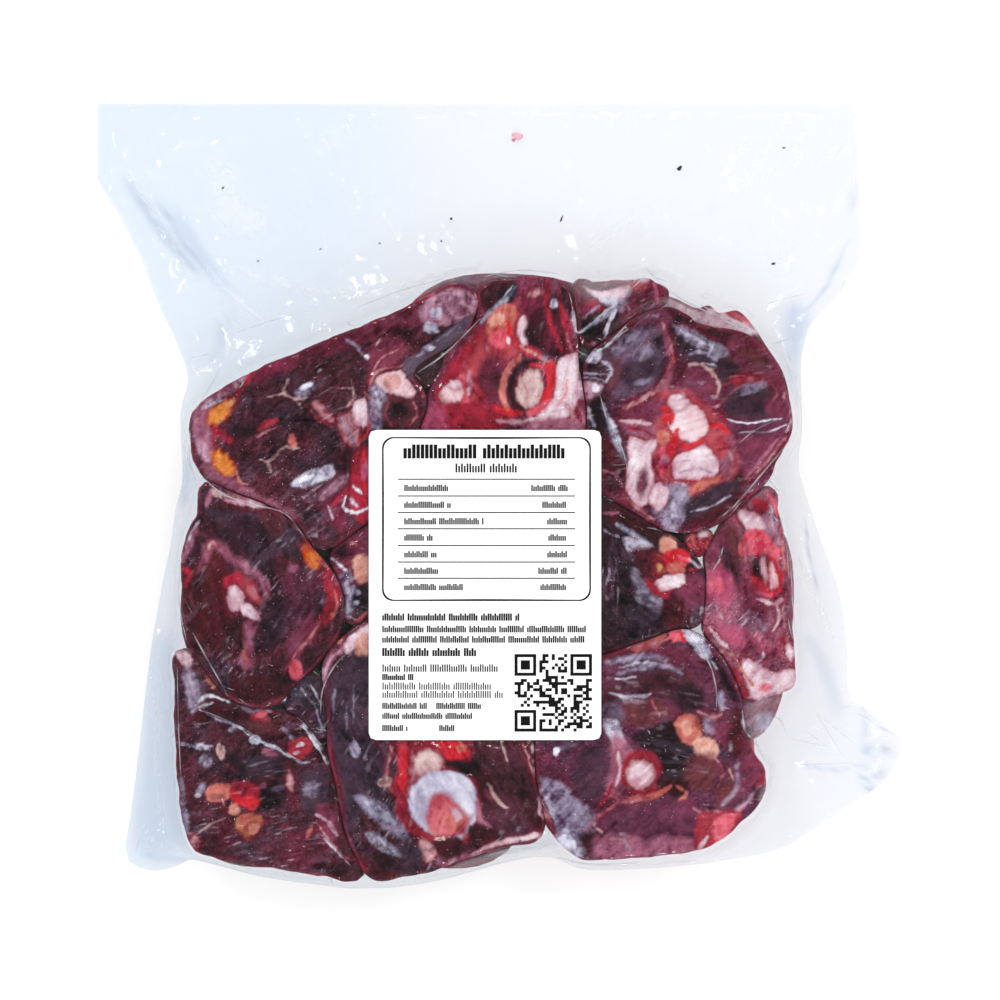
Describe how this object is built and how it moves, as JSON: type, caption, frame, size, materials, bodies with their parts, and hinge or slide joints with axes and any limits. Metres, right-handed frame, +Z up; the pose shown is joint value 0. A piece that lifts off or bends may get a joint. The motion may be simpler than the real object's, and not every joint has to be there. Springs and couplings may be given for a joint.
{
  "type": "vacuum pouch of frozen mutton neck chops",
  "caption": "Clear vacuum pouch of frozen bone-in mutton neck chops, lying flat with its shown side up and a plain printed paper label on top.",
  "frame": {"origin": "under the middle of the pouch's outline, on the surface that it lies on", "axes": "+X across the pouch along its sealed far edge, +Y towards that sealed edge, +Z up through the label"},
  "size_m": [0.3296, 0.32, 0.044],
  "materials": {
    "meat": "frozen raw mutton in slices with fat, bone and marrow, dark purple-red muscle, pale pink fat, a dusting of frost",
    "film": "clear polyamide and polyethylene vacuum film, glossy, creased where it is loose",
    "paper": "white coated self-adhesive label paper, smooth satin",
    "print": "black thermal print, matt"
  },
  "bodies": {
    "root": {"filled_pouch": "meat", "label": "paper"}
  },
  "joints": []
}
